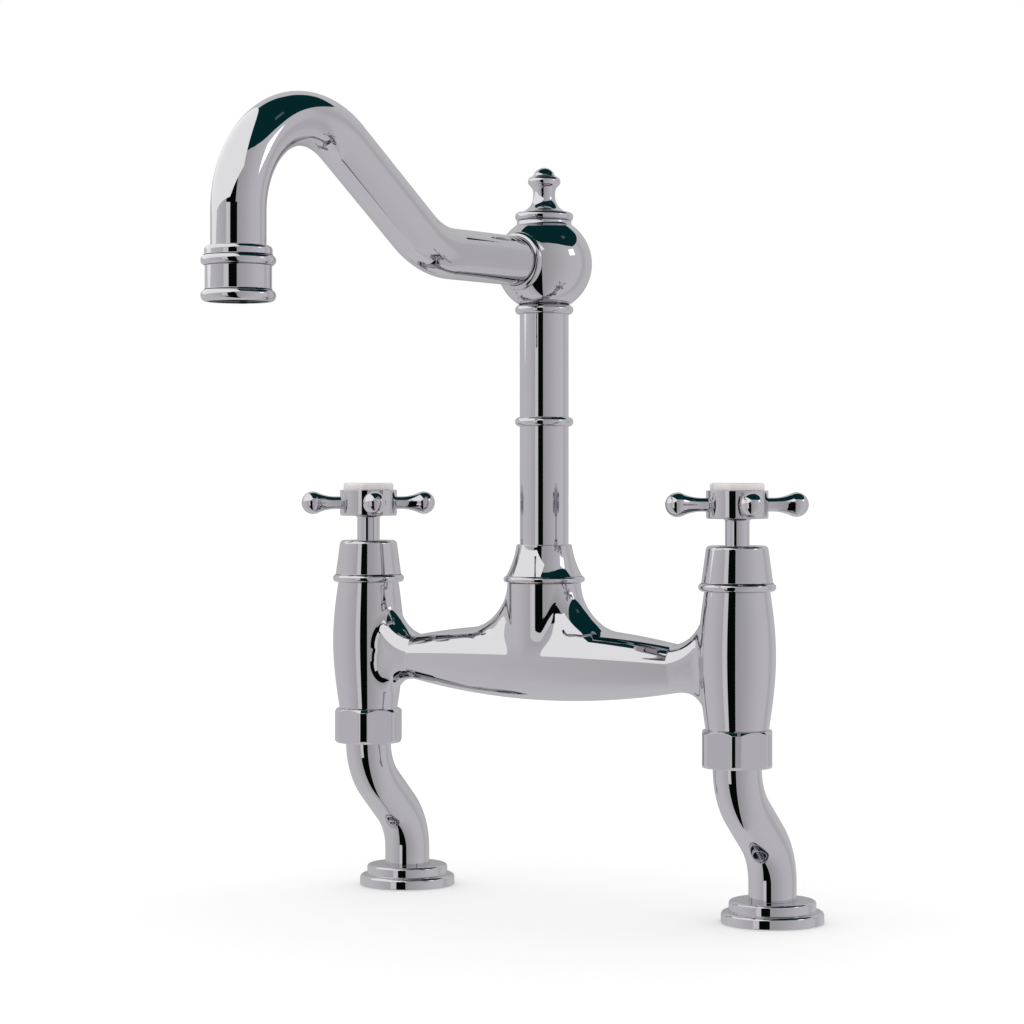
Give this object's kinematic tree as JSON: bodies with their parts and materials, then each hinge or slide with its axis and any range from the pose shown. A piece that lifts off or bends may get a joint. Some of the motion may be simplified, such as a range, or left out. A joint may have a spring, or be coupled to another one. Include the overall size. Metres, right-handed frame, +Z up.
{
  "type": "bridge kitchen faucet",
  "caption": "Two-hole bridge kitchen faucet with cranked legs, ceramic-disc valves with crosshead handles, and a swivelling swan spout on a tall column.",
  "frame": {"origin": "on the deck, midway between the two deck holes", "axes": "+X from the left valve to the right valve, -Y out over the sink, +Z up"},
  "size_m": [0.251, 0.2739, 0.35],
  "materials": {
    "polished_chrome": "bright chrome plate on polished brass",
    "porcelain": "glazed white porcelain",
    "brass": "machined brass",
    "alumina": "lapped alumina ceramic",
    "rubber": "moulded black rubber",
    "fibre": "pressed red fibre",
    "acetal": "moulded white acetal",
    "aerator_plastic": "moulded dark grey plastic"
  },
  "bodies": {
    "body": {"bridge_body": "polished_chrome", "left_union_nut": "polished_chrome", "right_union_nut": "polished_chrome", "left_leg": "polished_chrome", "right_leg": "polished_chrome", "left_union_washer": "fibre", "right_union_washer": "fibre", "left_deck_flange": "polished_chrome", "right_deck_flange": "polished_chrome", "left_deck_seal": "rubber", "right_deck_seal": "rubber", "left_bonnet": "polished_chrome", "right_bonnet": "polished_chrome", "left_cartridge_body": "brass", "right_cartridge_body": "brass", "left_lip_seal": "rubber", "right_lip_seal": "rubber", "left_fixed_disc": "alumina", "right_fixed_disc": "alumina", "spout_nut": "polished_chrome", "swivel_rings": "acetal"},
    "spout": {"column_foot": "brass", "foot_o_rings": "rubber", "spout_column": "polished_chrome", "column_beads": "polished_chrome", "spout_ball": "polished_chrome", "finial": "polished_chrome", "arm_collar": "polished_chrome", "spout_arm": "polished_chrome", "outlet_collar": "polished_chrome", "aerator_housing": "brass", "aerator_insert": "aerator_plastic", "aerator_washer": "rubber"},
    "left_handle": {"left_spindle": "brass", "left_turning_disc": "alumina", "left_spindle_o_ring": "rubber", "left_handle_hub": "polished_chrome", "left_handle_arms": "polished_chrome", "left_index": "porcelain", "left_handle_screw": "brass"},
    "right_handle": {"right_spindle": "brass", "right_turning_disc": "alumina", "right_spindle_o_ring": "rubber", "right_handle_hub": "polished_chrome", "right_handle_arms": "polished_chrome", "right_index": "porcelain", "right_handle_screw": "brass"}
  },
  "joints": [
    {"name": "spout_swivel", "type": "hinge", "parent": "body", "child": "spout", "pos_m": [0, -0.0297, 0.1477], "axis": [0, 0, 1], "continuous": true},
    {"name": "left_handle_turn", "type": "hinge", "parent": "body", "child": "left_handle", "pos_m": [-0.1016, -0.0297, 0.1459], "axis": [0, 0, 1], "range_deg": [0, 90]},
    {"name": "right_handle_turn", "type": "hinge", "parent": "body", "child": "right_handle", "pos_m": [0.1016, -0.0297, 0.1459], "axis": [0, 0, 1], "range_deg": [-90, 0]}
  ]
}
